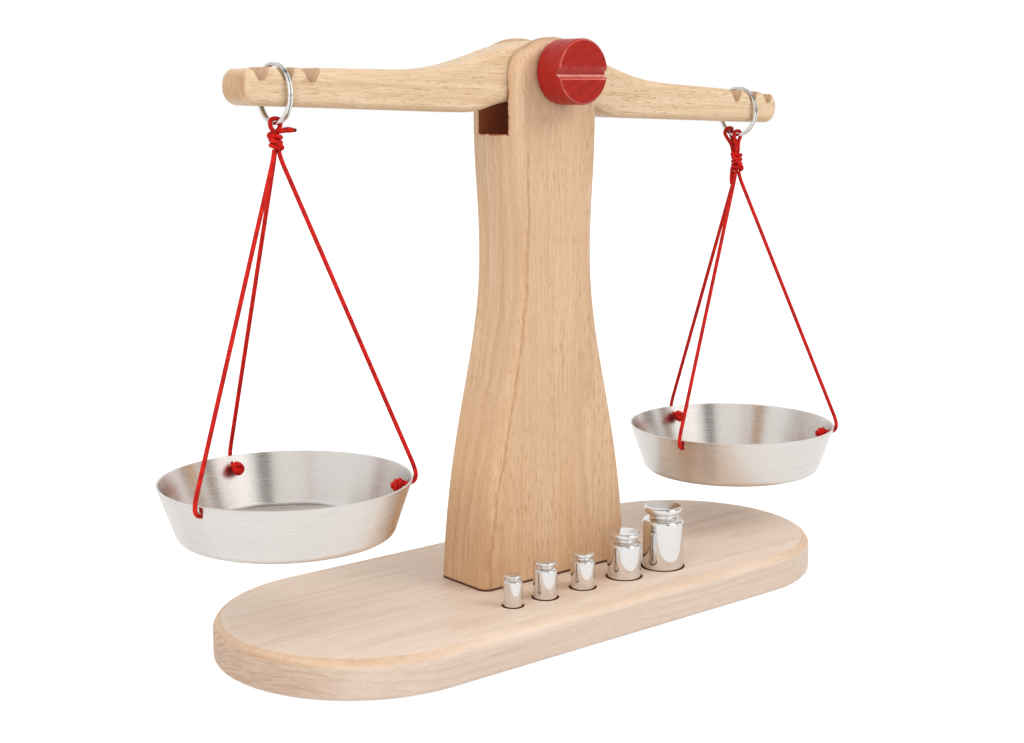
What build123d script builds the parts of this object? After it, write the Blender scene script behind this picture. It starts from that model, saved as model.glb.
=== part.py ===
from build123d import *
import math
import os

# Balance scale: a waisted wooden post on a board carries a rocking beam, and a
# weighing pan hangs from a split ring at each end of the beam on three cords.
# X runs along the beam, -Y is the front, Z is up. The origin is the middle of
# the board's underside. All sizes are in millimetres and degrees.

# Board, with half-round ends
BOARD_LENGTH = 300.0
BOARD_WIDTH = 119.0
BOARD_THICK = 15.5
BOARD_TOP_ROUND = 4.5
BOARD_BOTTOM_ROUND = 1.5

# Post, heights measured from the board's underside
POST_DEPTH = 31.0
POST_FOOT_HALF_WIDTH = 40.4
POST_WAIST_HALF_WIDTH = 19.6
POST_HEAD_HALF_WIDTH = 22.0
POST_TOP_HEIGHT = 241.3
POST_HEAD_DROP = 33.3
POST_WAIST_DROP = 87.8
POST_HEAD_HEIGHT = POST_TOP_HEIGHT - POST_HEAD_DROP
POST_WAIST_HEIGHT = POST_TOP_HEIGHT - POST_WAIST_DROP
POST_CROWN_RADIUS = 30.0
POST_SHOULDER_RADIUS = 12.0
POST_CORNER_ROUND = 4.0
POST_FOOT_HANDLE = (3.2, 67.7)
POST_WAIST_HANDLE = 44.0
POST_NECK_HANDLE = 22.0
SLOT_WIDTH = 19.0
SLOT_DEPTH = 38.9
SLOT_FLOOR_HEIGHT = POST_TOP_HEIGHT - SLOT_DEPTH

# Pivot
PIVOT_DROP = 14.1
PIVOT_HEIGHT = POST_TOP_HEIGHT - PIVOT_DROP
BOLT_RADIUS = 3.0
BOLT_HEAD_RADIUS = 5.5
BOLT_HEAD_THICK = 2.6
BOLT_HEAD_EDGE = 0.8
RUNNING_FIT = 0.05
SEAT_FIT = 0.02
BUSH_WALL = 2.0
BUSH_STAND = 0.3

# Knob, a short screw-on grip with one groove across its face
KNOB_RADIUS = 13.1
KNOB_THICK = 14.5
KNOB_FACE_CHAMFER = 0.9
KNOB_BACK_ROUND = 1.2
GROOVE_WIDTH = 5.2
GROOVE_FLOOR_WIDTH = 1.0
GROOVE_DEPTH = 2.4
GROOVE_DROP = 0.6
INSERT_WALL = 1.6
INSERT_LENGTH = 10.0
WASHER_THICK = 0.75
WASHER_RADIUS = 8.0
WASHER_PLAY = 0.1

# Beam, measured from the pivot with the beam level
BEAM_TILT = 2.1
BEAM_HALF_LENGTH = 142.0
BEAM_THICK = 18.0
BEAM_HUB_RISE = 12.8
BEAM_HUB_HANDLE = 24.5
BEAM_SHOULDER = (72.3, -1.9)
BEAM_SHOULDER_HANDLE = 37.4
BEAM_TIP_DROP = 3.7
BEAM_BOTTOM_DROP = 17.3
BEAM_ARCH_DROP = 11.2
BEAM_ARCH_REACH = 44.0
BEAM_ARCH_HANDLES = (31.0, 17.0)
BEAM_END_ROUND_SHARE = 0.44
BEAM_EDGE_ROUND = 3.0
NOTCH_REACH = 124.5
NOTCH_PITCH = 10.6
NOTCH_COUNT = 3
NOTCH_WIDTH = 8.0
NOTCH_BOTTOM_DROP = 8.8
NOTCH_BOTTOM_ROUND = 1.8
NOTCH_CUTTER_RISE = 10.0

# Split rings, each two coils pressed together
RING_INNER_RADIUS = 10.1
RING_WIRE_DEPTH = 1.3
RING_WIDTH = 2.1
RING_EDGE_ROUND = 0.3
RING_GROOVE = 0.22
RING_SLIT = 0.5
RING_SLIT_ANGLE = 17.0
RING_DROP = 3.9

# Cord
CORD_RADIUS = 0.85
WRAP_RADIUS = 1.95
WRAP_PITCH = 2.02
LOOP_RADIUS = 2.1
WRAP_LEAD = 1.9
WRAP_START_ANGLE = 45.0
STRING_SPREAD = 1.06

# Pans
PAN_RIM_RADIUS = 48.6
PAN_BASE_RADIUS = 41.0
PAN_DEPTH = 22.0
PAN_WALL = 0.8
PAN_BASE_ROUND = 4.0
PAN_HOLE_DISTANCE = 3.7
PAN_HOLE_RADIUS = 1.35
STRING_STAND = 1.75
STOPPER_GAP = 0.45
STOPPER_TURNS = 2

# Each side: drop of the pan's rim below the ring's middle, distance of the
# knot's first wrap and of its lower end below the loop, and the strings' angles
SIDES = {
    "left": {"sign": -1, "rim_drop": 144.4, "wrap_top": 3.5, "knot_end": 9.45,
             "strings": (85.0, 198.5, 330.0)},
    "right": {"sign": 1, "rim_drop": 147.5, "wrap_top": 7.9, "knot_end": 16.7,
              "strings": (80.0, 194.5, 316.0)},
}

# Second loop of the right-hand cord, further round the ring
LOOP2_RING_ANGLE = 32.0
LOOP2_RADIUS = 2.6
LOOP2_ENDS = ((-1.25, 1.9), (0.75, 2.35))

# Short cord ends that stick out of the knots
TAIL_LENGTH = 5.8
TAIL_ROOT_RADIUS = 0.9
TAIL_SWELL_RADIUS = 1.2
TAIL_TIP_RADIUS = 0.55
STUB_LENGTH = 7.2
STUB_TUCK = 1.2
STUB_CLEAR = 0.2

# Weights in blind recesses: name, place along X, radius, height above the board
WEIGHT_ROW_Y = -35.3
RECESS_DEPTH = 5.0
RECESS_PLAY = 0.6
WEIGHTS = (
    ("weight_5g", -41.8, 3.9, 13.1),
    ("weight_10g_a", -24.6, 5.0, 15.5),
    ("weight_10g_b", -3.9, 5.1, 15.2),
    ("weight_20g", 19.9, 7.2, 19.6),
    ("weight_50g", 43.0, 8.9, 27.1),
)
# Parts of a weight's top as shares of its radius
HEAD_THICK_SHARE = 0.34
HEAD_RADIUS_SHARE = 0.93
HEAD_ROUND_SHARE = 0.12
NECK_HEIGHT_SHARE = 0.21
NECK_RADIUS_SHARE = 0.67
SHOULDER_SHARE = 0.15
FOOT_CHAMFER = 0.4

# Screws that hold the post from below
SCREW_REACH = 24.0
SCREW_RADIUS = 2.0
SCREW_LENGTH = 38.0
SCREW_HEAD_RADIUS = 4.2
SCREW_HEAD_DEPTH = 3.0
SCREW_SINK = 1.0
SCREW_POINT = 4.0
SCREW_DRIVE_WIDTH = 1.0
SCREW_DRIVE_DEPTH = 1.2


def turned(edges, place):
    """A solid turned from a half outline drawn as (radius, height)."""
    profile = Plane.XZ * make_face(edges)
    return place * revolve(profile, Axis.Z, 360)


def closed(*points):
    """The edges of a closed outline through the points."""
    return Polyline(*points, close=True).edges()


def tilted(x, drop):
    """A point of the level beam, moved to where the tilted beam has it."""
    angle = math.radians(BEAM_TILT)
    across = x * math.cos(angle) - drop * math.sin(angle)
    down = x * math.sin(angle) + drop * math.cos(angle)
    return across, PIVOT_HEIGHT - down


def along_y(y):
    """A place on the pivot's axis whose Z points to the front."""
    return Plane(origin=(0, y, PIVOT_HEIGHT), x_dir=(1, 0, 0), z_dir=(0, -1, 0))


def base_board():
    board = extrude(SlotOverall(BOARD_LENGTH, BOARD_WIDTH), BOARD_THICK)
    board = fillet(board.faces().sort_by(Axis.Z)[-1].edges(), BOARD_TOP_ROUND)
    board = fillet(board.faces().sort_by(Axis.Z)[0].edges(), BOARD_BOTTOM_ROUND)
    for _, x, radius, _ in WEIGHTS:
        recess = Cylinder(radius + RECESS_PLAY, RECESS_DEPTH + 1)
        floor = BOARD_THICK - RECESS_DEPTH
        board -= Pos(x, WEIGHT_ROW_Y, floor + (RECESS_DEPTH + 1) / 2) * recess
    for x in (-SCREW_REACH, SCREW_REACH):
        board -= Pos(x, 0, 0) * screw_hole()
    return board


def screw_hole():
    """The clearance hole, countersink and sunk mouth of one screw."""
    wide = SCREW_HEAD_RADIUS + RUNNING_FIT
    narrow = SCREW_RADIUS + RUNNING_FIT
    top = BOARD_THICK + 1
    return turned(closed((0, -1), (wide, -1), (wide, SCREW_SINK),
                         (narrow, SCREW_SINK + SCREW_HEAD_DEPTH), (narrow, top), (0, top)),
                  Pos(0, 0, 0))


def post_outline():
    """The front outline of the post, both sides mirrored from one."""
    top = POST_TOP_HEIGHT
    head = POST_HEAD_HALF_WIDTH
    waist = POST_WAIST_HALF_WIDTH
    foot = (POST_FOOT_HALF_WIDTH, BOARD_THICK)
    lean, rise = POST_FOOT_HANDLE
    spare = POST_CROWN_RADIUS - POST_SHOULDER_RADIUS
    inset = head - POST_SHOULDER_RADIUS
    shoulder = top - POST_CROWN_RADIUS + math.sqrt(spare**2 - inset**2)
    turn = math.degrees(math.acos(inset / spare))
    flare = Bezier(foot, (foot[0] - lean, foot[1] + rise),
                   (waist, POST_WAIST_HEIGHT - POST_WAIST_HANDLE), (waist, POST_WAIST_HEIGHT))
    neck = Bezier((waist, POST_WAIST_HEIGHT), (waist, POST_WAIST_HEIGHT + POST_NECK_HANDLE),
                  (head, POST_HEAD_HEIGHT - POST_NECK_HANDLE), (head, POST_HEAD_HEIGHT))
    side = Line((head, POST_HEAD_HEIGHT), (head, shoulder))
    corner = JernArc(side @ 1, (0, 1), POST_SHOULDER_RADIUS, turn)
    half = flare.edges() + neck.edges() + side.edges() + corner.edges()
    crown = ThreePointArc(corner @ 1, (0, top), (-(corner @ 1).X, (corner @ 1).Y))
    base = Line((-foot[0], foot[1]), foot)
    return half + [mirror(edge, about=Plane.YZ) for edge in half] + crown.edges() + base.edges()


def post():
    body = extrude(Plane.XZ * make_face(post_outline()), POST_DEPTH / 2, both=True)
    rims = [e for e in body.edges()
            if abs(abs(e.center().Y) - POST_DEPTH / 2) < 0.01 and e.center().Z > BOARD_THICK + 1]
    body = fillet(rims, POST_CORNER_ROUND)
    slot_height = POST_TOP_HEIGHT - SLOT_FLOOR_HEIGHT + 1
    slot = Box(4 * POST_HEAD_HALF_WIDTH, SLOT_WIDTH, slot_height)
    body -= Pos(0, 0, SLOT_FLOOR_HEIGHT + slot_height / 2) * slot
    body -= along_y(0) * Cylinder(BOLT_RADIUS + RUNNING_FIT, POST_DEPTH + 2)
    for x in (-SCREW_REACH, SCREW_REACH):
        pilot_height = SCREW_SINK + SCREW_LENGTH - BOARD_THICK + 1
        pilot = Cylinder(SCREW_RADIUS + SEAT_FIT, pilot_height)
        body -= Pos(x, 0, BOARD_THICK + pilot_height / 2) * pilot
    return body


def post_screws():
    """Two countersunk screws with a straight drive slot."""
    head = SCREW_SINK + SCREW_HEAD_DEPTH
    tip = SCREW_SINK + SCREW_LENGTH
    screw = turned(closed((0, SCREW_SINK), (SCREW_HEAD_RADIUS, SCREW_SINK),
                          (SCREW_RADIUS, head), (SCREW_RADIUS, tip - SCREW_POINT), (0, tip)),
                   Pos(0, 0, 0))
    drive = Box(3 * SCREW_HEAD_RADIUS, SCREW_DRIVE_WIDTH, 2 * SCREW_DRIVE_DEPTH)
    screw -= Pos(0, 0, SCREW_SINK) * drive
    return Compound(children=[Pos(x, 0, 0) * screw for x in (-SCREW_REACH, SCREW_REACH)])


def pivot_bolt():
    """The bolt through both cheeks, its low round head at the back."""
    head = BOLT_HEAD_THICK
    back = POST_DEPTH / 2
    reach = POST_DEPTH + WASHER_THICK + WASHER_PLAY + INSERT_LENGTH
    rise = head - BOLT_HEAD_EDGE
    sphere = (BOLT_HEAD_RADIUS**2 + rise**2) / (2 * rise)
    spread = math.degrees(math.asin(BOLT_HEAD_RADIUS / sphere))
    dome = JernArc((0, -head), (1, 0), sphere, spread)
    sides = Polyline(dome @ 1, (BOLT_HEAD_RADIUS, 0), (BOLT_RADIUS, 0), (BOLT_RADIUS, reach),
                     (0, reach), (0, -head))
    return turned(sides.edges() + dome.edges(), along_y(back))


def knob_washer():
    hole = BOLT_RADIUS + RUNNING_FIT
    return turned(closed((hole, 0), (WASHER_RADIUS, 0), (WASHER_RADIUS, WASHER_THICK),
                         (hole, WASHER_THICK)), along_y(-POST_DEPTH / 2))


def knob():
    back = -POST_DEPTH / 2 - WASHER_THICK - WASHER_PLAY
    grip = Cylinder(KNOB_RADIUS, KNOB_THICK, align=(Align.CENTER, Align.CENTER, Align.MIN))
    grip = chamfer(grip.edges().sort_by(Axis.Z)[-1], KNOB_FACE_CHAMFER)
    grip = fillet(grip.edges().sort_by(Axis.Z)[0], KNOB_BACK_ROUND)
    bore_radius = BOLT_RADIUS + RUNNING_FIT + INSERT_WALL + SEAT_FIT
    bore_depth = INSERT_LENGTH + 1
    bore = Cylinder(bore_radius, 2 * bore_depth)
    solid = along_y(back) * (grip - bore)
    front = back - KNOB_THICK
    middle = PIVOT_HEIGHT - GROOVE_DROP
    wide = GROOVE_WIDTH / 2
    narrow = GROOVE_FLOOR_WIDTH / 2
    flare = (wide - narrow) / GROOVE_DEPTH
    outside = wide + flare
    section = closed((front - 1, middle - outside), (front - 1, middle + outside),
                     (front + GROOVE_DEPTH, middle + narrow),
                     (front + GROOVE_DEPTH, middle - narrow))
    return solid - extrude(Plane.YZ * make_face(section), 2 * KNOB_RADIUS, both=True)


def knob_insert():
    """The threaded brass sleeve let into the knob's back."""
    back = -POST_DEPTH / 2 - WASHER_THICK - WASHER_PLAY
    hole = BOLT_RADIUS + RUNNING_FIT
    return turned(closed((hole, 0), (hole + INSERT_WALL, 0), (hole + INSERT_WALL, INSERT_LENGTH),
                         (hole, INSERT_LENGTH)), along_y(back))


def beam_outline():
    """The front outline of the level beam about its pivot."""
    end = BEAM_HALF_LENGTH
    bottom = -BEAM_BOTTOM_DROP
    arch = -BEAM_ARCH_DROP
    shoulder_x, shoulder_z = BEAM_SHOULDER
    slope = (-BEAM_TIP_DROP - shoulder_z) / (end - shoulder_x)
    arch_start, arch_end = BEAM_ARCH_HANDLES
    hub = Bezier((0, BEAM_HUB_RISE), (BEAM_HUB_HANDLE, BEAM_HUB_RISE),
                 (shoulder_x - BEAM_SHOULDER_HANDLE, shoulder_z - slope * BEAM_SHOULDER_HANDLE),
                 BEAM_SHOULDER)
    arm = FilletPolyline(BEAM_SHOULDER, (end, -BEAM_TIP_DROP), (end, bottom),
                         (BEAM_ARCH_REACH, bottom),
                         radius=BEAM_END_ROUND_SHARE * (BEAM_BOTTOM_DROP - BEAM_TIP_DROP))
    under = Bezier((BEAM_ARCH_REACH, bottom), (BEAM_ARCH_REACH - arch_end, bottom),
                   (arch_start, arch), (0, arch))
    half = hub.edges() + arm.edges() + under.edges()
    return half + [mirror(edge, about=Plane.YZ) for edge in half]


def notch():
    """One V notch with a round bottom, cut down from above the beam."""
    centre = -NOTCH_BOTTOM_DROP + NOTCH_BOTTOM_ROUND
    mouth = NOTCH_WIDTH / 2
    lip = -BEAM_TIP_DROP
    away = math.hypot(mouth, lip - centre)
    half_angle = math.acos(NOTCH_BOTTOM_ROUND / away) - math.atan2(lip - centre, mouth)
    side = (NOTCH_BOTTOM_ROUND * math.cos(half_angle),
            centre - NOTCH_BOTTOM_ROUND * math.sin(half_angle))
    above = NOTCH_CUTTER_RISE * math.tan(half_angle)
    top = lip + NOTCH_CUTTER_RISE
    bottom = ThreePointArc(side, (0, -NOTCH_BOTTOM_DROP), (-side[0], side[1]))
    sides = Polyline((-side[0], side[1]), (-mouth - above, top), (mouth + above, top), side)
    return extrude(Plane.XZ * make_face(bottom.edges() + sides.edges()), BEAM_THICK, both=True)


def beam():
    body = extrude(Plane.XZ * make_face(beam_outline()), BEAM_THICK / 2, both=True)
    rims = [e for e in body.edges() if abs(abs(e.center().Y) - BEAM_THICK / 2) < 0.01]
    body = fillet(rims, BEAM_EDGE_ROUND)
    cutter = notch()
    for side in (-1, 1):
        for index in range(NOTCH_COUNT):
            offset = (index - (NOTCH_COUNT - 1) / 2) * NOTCH_PITCH
            body -= Pos(side * NOTCH_REACH + offset, 0, 0) * cutter
    bore = BOLT_RADIUS + RUNNING_FIT + BUSH_WALL + SEAT_FIT
    body -= Rot(90, 0, 0) * Cylinder(bore, 2 * BEAM_THICK)
    return Pos(0, 0, PIVOT_HEIGHT) * Rot(0, BEAM_TILT, 0) * body


def beam_bush():
    hole = BOLT_RADIUS + RUNNING_FIT
    half = BEAM_THICK / 2 + BUSH_STAND
    return turned(closed((hole, -half), (hole + BUSH_WALL, -half), (hole + BUSH_WALL, half),
                         (hole, half)), along_y(0))


def ring_middle(side):
    """The middle of a side's ring, hanging upright in its notch."""
    x, z = tilted(SIDES[side]["sign"] * NOTCH_REACH, NOTCH_BOTTOM_DROP)
    return Vector(x, 0, z - RING_DROP)


def ring(side):
    """Two coils side by side with a groove between and a cut end on each."""
    half = RING_WIDTH / 2
    inner = RING_INNER_RADIUS
    outer = inner + RING_WIRE_DEPTH
    soft = RING_EDGE_ROUND
    section = FilletPolyline((-half, inner), (-RING_GROOVE, inner), (0, inner + RING_GROOVE),
                             (RING_GROOVE, inner), (half, inner), (half, outer),
                             (RING_GROOVE, outer), (0, outer - RING_GROOVE),
                             (-RING_GROOVE, outer), (-half, outer), close=True,
                             radius=[soft, 0, 0, 0, soft, soft, 0, 0, 0, soft])
    coils = revolve(make_face(section.edges()), Axis.X, 360)
    for x, angle in ((-half, RING_SLIT_ANGLE), (half, RING_SLIT_ANGLE + 14)):
        cut = Pos(x, 0, -(inner + outer) / 2) * Box(RING_WIDTH, RING_SLIT, 2 * RING_WIRE_DEPTH)
        coils -= Rot(angle, 0, 0) * cut
    return Pos(ring_middle(side)) * coils


def biarc(start, start_dir, end, end_dir):
    """Two arcs that leave start and reach end along the given directions."""
    chord = end - start
    both = start_dir + end_dir
    spread = 2 * (1 - start_dir.dot(end_dir))
    reach = chord.dot(both)
    if spread < 1e-9:
        length = chord.dot(chord) / (2 * reach)
    else:
        length = (math.sqrt(reach**2 + spread * chord.dot(chord)) - reach) / spread
    joint = (start + start_dir * length + end - end_dir * length) * 0.5
    first = TangentArc(start, joint, tangent=start_dir)
    return [first.edge(), TangentArc(joint, end, tangent=first % 1).edge()]


def through(stations):
    """Biarcs and straight runs through (point, direction) stations."""
    edges = []
    for (start, start_dir), (end, end_dir) in zip(stations, stations[1:]):
        chord = end - start
        straight = chord.normalized().dot(start_dir) > 0.999999
        if straight and start_dir.dot(end_dir) > 0.999999:
            edges.append(Line(start, end).edge())
        else:
            edges += biarc(start, start_dir, end, end_dir)
    return edges


def tube(edges, radius):
    """A round cord along joined edges."""
    path = Wire(edges)
    section = Plane(origin=path @ 0, z_dir=path % 0) * Circle(radius)
    return sweep(section, path=path)


def winding(axis_radius, start_angle, start_height, pitch, turns):
    """Stations a quarter turn apart on a helix that descends about Z."""
    stations = []
    count = math.ceil(turns * 4)
    for index in range(count + 1):
        turn = min(index / 4, turns)
        angle = math.radians(start_angle + 360 * turn)
        point = Vector(axis_radius * math.cos(angle), axis_radius * math.sin(angle),
                       start_height - pitch * turn)
        heading = Vector(-math.sin(angle), math.cos(angle), -pitch / (2 * math.pi * axis_radius))
        stations.append((point, heading.normalized()))
    return stations


def run_on(station, length):
    """The station reached by going straight on from a station."""
    point, heading = station
    return point + heading * length, heading


def hanger_path(side):
    """Up through the knot, over the ring, down again and round the knot."""
    knot_end = SIDES[side]["knot_end"]
    wrap_top = SIDES[side]["wrap_top"]
    up = Vector(0, 0, 1)
    down = Vector(0, 0, -1)
    turns = (knot_end - wrap_top - CORD_RADIUS) / WRAP_PITCH
    wraps = winding(WRAP_RADIUS, WRAP_START_ANGLE, -wrap_top, WRAP_PITCH, turns)
    rising = [(Vector(0, 0, -knot_end), up), (Vector(0, 0, 0.3 - wrap_top), up),
              (Vector(-LOOP_RADIUS, 0, 0), up)]
    over = [(Vector(0, 0, LOOP_RADIUS), Vector(1, 0, 0)), (Vector(LOOP_RADIUS, 0, 0), down)]
    falling = [(Vector(LOOP_RADIUS, 0, WRAP_LEAD - wrap_top), down)]
    return through(rising + over + falling + wraps + [run_on(wraps[-1], 2 * CORD_RADIUS)])


def loop_place(side):
    """The middle of the ring's wire at its lowest point."""
    return Pos(ring_middle(side) - Vector(0, 0, RING_INNER_RADIUS + RING_WIRE_DEPTH / 2))


def hanger(side):
    return loop_place(side) * tube(hanger_path(side), CORD_RADIUS)


def second_loop():
    """The right cord's other loop, drawn from the ring down to the knot."""
    wire = RING_INNER_RADIUS + RING_WIRE_DEPTH / 2
    angle = math.radians(LOOP2_RING_ANGLE)
    middle = Vector(0, wire * math.sin(angle), wire * (1 - math.cos(angle)))
    foot = CORD_RADIUS + 0.05 - SIDES["right"]["wrap_top"]
    (left_x, left_y), (right_x, right_y) = LOOP2_ENDS
    left = Vector(left_x, left_y, foot)
    right = Vector(right_x, right_y, foot)
    pull = Vector(0, -math.sin(angle), math.cos(angle))
    up = Vector(0, 0, 1)
    across = Vector(1, 0, 0)
    stations = [(left, up), (left + up * (2 * CORD_RADIUS), up),
                (middle - across * LOOP2_RADIUS, pull), (middle + pull * LOOP2_RADIUS, across),
                (middle + across * LOOP2_RADIUS, pull * -1),
                (right + up * (2 * CORD_RADIUS), up * -1), (right, up * -1)]
    return loop_place("right") * tube(through(stations), CORD_RADIUS)


def tail_left():
    """The thick sealed cord end that points right from the left knot."""
    swell = Spline((TAIL_ROOT_RADIUS, 0), (TAIL_SWELL_RADIUS, TAIL_LENGTH * 0.45),
                   (TAIL_TIP_RADIUS * 1.5, TAIL_LENGTH * 0.8), (TAIL_TIP_RADIUS, TAIL_LENGTH))
    sides = Polyline((TAIL_TIP_RADIUS, TAIL_LENGTH), (0, TAIL_LENGTH), (0, 0),
                     (TAIL_ROOT_RADIUS, 0))
    height = WRAP_LEAD / 2 - SIDES["left"]["wrap_top"]
    root = LOOP_RADIUS + CORD_RADIUS + 0.1
    aim = Plane(origin=(root, 0, height), z_dir=(1, 0, 0))
    return loop_place("left") * turned(swell.edges() + sides.edges(), aim.location)


def tail_right():
    """The short cord end that hangs from the right knot between two strings."""
    top = STUB_TUCK - SIDES["right"]["knot_end"]
    between = sum(SIDES["right"]["strings"][:2]) / 2
    stub = Cylinder(CORD_RADIUS, STUB_LENGTH, align=(Align.CENTER, Align.CENTER, Align.MAX))
    return loop_place("right") * Rot(0, 0, between) * Pos(WRAP_RADIUS + STUB_CLEAR, 0, top) * stub


def pan_place(side):
    """The middle of a pan's rim."""
    return ring_middle(side) - Vector(0, 0, SIDES[side]["rim_drop"])


def wall_frame():
    """Down along a pan's wall, square into it, and the string hole's middle."""
    lean = math.atan2(PAN_RIM_RADIUS - PAN_BASE_RADIUS, PAN_DEPTH)
    down = Vector(-math.sin(lean), 0, -math.cos(lean))
    inward = Vector(-math.cos(lean), 0, math.sin(lean))
    rim = Vector(PAN_RIM_RADIUS, 0, 0)
    return down, inward, rim, rim + down * PAN_HOLE_DISTANCE


def string_points(side):
    """A string's route in the plane of its hole, from knot to stopper."""
    down, inward, rim, hole = wall_frame()
    knot_z = loop_place(side).position.Z - SIDES[side]["knot_end"] - pan_place(side).Z
    stopper = 2 * CORD_RADIUS + STOPPER_TURNS * WRAP_PITCH
    inside = PAN_WALL + STOPPER_GAP + stopper * 0.55
    sag = Vector(0, 0, -0.12)
    return [Vector(STRING_SPREAD, 0, knot_z), Vector(STRING_SPREAD, 0, knot_z - 2.0),
            rim - inward * 1.5 - down * 0.7, hole - inward * STRING_STAND,
            hole + inward * inside,
            hole + inward * (PAN_WALL + STOPPER_GAP + stopper + 1.0) + sag]


def corner_radii(points):
    """The largest arc at each corner that its two runs leave room for."""
    radii = []
    for before, here, after in zip(points, points[1:], points[2:]):
        turn = math.radians((here - before).get_angle(after - here))
        shorter = min((here - before).length, (after - here).length)
        radii.append(0.45 * shorter / math.tan(turn / 2))
    return radii


def string(side, angle):
    points = string_points(side)
    radii = corner_radii(points)
    path = FilletPolyline(*points, radius=radii)
    solid = tube(path.edges(), CORD_RADIUS)
    ideal = math.pi * CORD_RADIUS**2 * Wire(path.edges()).length
    print(f"string {side} {angle:.0f}: radii {[round(r, 2) for r in radii]}, "
          f"volume {solid.volume:.2f} of {ideal:.2f}")
    return Pos(pan_place(side)) * Rot(0, 0, angle) * solid


def stopper(side, angle):
    """A knot wound round a string's end inside the pan."""
    _, inward, _, hole = wall_frame()
    wraps = winding(WRAP_RADIUS, 0, -CORD_RADIUS, WRAP_PITCH, STOPPER_TURNS)
    first = (wraps[0][0] - wraps[0][1] * (2 * CORD_RADIUS), wraps[0][1])
    coil = tube(through([first] + wraps + [run_on(wraps[-1], 2 * CORD_RADIUS)]), CORD_RADIUS)
    start = hole + inward * (PAN_WALL + STOPPER_GAP)
    aim = Plane(origin=start, x_dir=(0, 1, 0), z_dir=inward * -1)
    return Pos(pan_place(side)) * Rot(0, 0, angle) * aim.location * coil


def pan(side):
    """A spun dish with a leaning wall and three string holes."""
    down, inward, _, hole = wall_frame()
    lean = math.atan2(PAN_RIM_RADIUS - PAN_BASE_RADIUS, PAN_DEPTH)
    across = PAN_WALL / math.cos(lean)
    inner_base = PAN_BASE_RADIUS + PAN_WALL * math.tan(lean) - across
    outer = FilletPolyline((0, -PAN_DEPTH), (PAN_BASE_RADIUS, -PAN_DEPTH), (PAN_RIM_RADIUS, 0),
                           radius=PAN_BASE_ROUND)
    inner = FilletPolyline((PAN_RIM_RADIUS - across, 0), (inner_base, PAN_WALL - PAN_DEPTH),
                           (0, PAN_WALL - PAN_DEPTH), radius=PAN_BASE_ROUND - PAN_WALL)
    rim = Line((PAN_RIM_RADIUS, 0), (PAN_RIM_RADIUS - across, 0))
    axis = Line((0, PAN_WALL - PAN_DEPTH), (0, -PAN_DEPTH))
    dish = turned(outer.edges() + rim.edges() + inner.edges() + axis.edges(), Pos(0, 0, 0))
    drill = Plane(origin=hole, z_dir=inward) * Cylinder(PAN_HOLE_RADIUS, 6 * PAN_WALL)
    for angle in SIDES[side]["strings"]:
        dish -= Rot(0, 0, angle) * drill
    return Pos(pan_place(side)) * dish


def weight(x, radius, height):
    """A turned weight: body, shoulder, neck and a rounded disc on top."""
    total = height + RECESS_DEPTH
    head = total - HEAD_THICK_SHARE * radius
    neck = head - NECK_HEIGHT_SHARE * radius
    body = neck - SHOULDER_SHARE * radius
    neck_radius = NECK_RADIUS_SHARE * radius
    head_radius = HEAD_RADIUS_SHARE * radius
    soft = HEAD_ROUND_SHARE * radius
    outline = FilletPolyline((0, 0), (radius - FOOT_CHAMFER, 0), (radius, FOOT_CHAMFER),
                             (radius, body), (neck_radius, neck), (neck_radius, head),
                             (head_radius, head), (head_radius, total), (0, total), close=True,
                             radius=[0, 0, 0, 0, 0, 0, soft, soft, 0])
    return turned(outline.edges(), Pos(x, WEIGHT_ROW_Y, BOARD_THICK - RECESS_DEPTH))


def least_gap(edges, section_radius, skip):
    """The least distance of a wound tube's surface from itself."""
    path = Wire(edges)
    count = int(path.length / 0.15)
    points = [path @ (index / count) for index in range(count + 1)]
    step = path.length / count
    apart = max(1, int(skip / step))
    least = min((points[i] - points[j]).length
                for i in range(len(points)) for j in range(i + apart, len(points)))
    return least - 2 * section_radius


def report_wound_tube(name, edges):
    tightest = min(edge.radius for edge in edges if edge.geom_type == GeomType.CIRCLE)
    gap = least_gap(edges, CORD_RADIUS, math.pi * WRAP_RADIUS)
    print(f"{name}: tightest arc {tightest:.2f}, least gap to itself {gap:.2f}")


def parts():
    made = {
        "base_board": base_board(),
        "post": post(),
        "post_screws": post_screws(),
        "pivot_bolt": pivot_bolt(),
        "knob_washer": knob_washer(),
        "knob": knob(),
        "knob_insert": knob_insert(),
        "beam": beam(),
        "beam_bush": beam_bush(),
        "second_loop_right": second_loop(),
        "tail_left": tail_left(),
        "tail_right": tail_right(),
    }
    for side in SIDES:
        made[f"ring_{side}"] = ring(side)
        made[f"hanger_{side}"] = hanger(side)
        made[f"pan_{side}"] = pan(side)
        angles = SIDES[side]["strings"]
        for number, angle in enumerate(angles, start=1):
            made[f"string_{side}_{number}"] = string(side, angle)
        stoppers = [stopper(side, angle) for angle in angles]
        made[f"stopper_knots_{side}"] = Compound(children=stoppers)
        report_wound_tube(f"hanger {side}", hanger_path(side))
    for name, x, radius, height in WEIGHTS:
        made[name] = weight(x, radius, height)
    return made


os.makedirs("parts", exist_ok=True)
for node, shape in parts().items():
    export_step(shape, f"parts/{node}.step")
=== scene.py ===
import math

import bmesh
import bpy
from mathutils import Matrix, Vector


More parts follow.
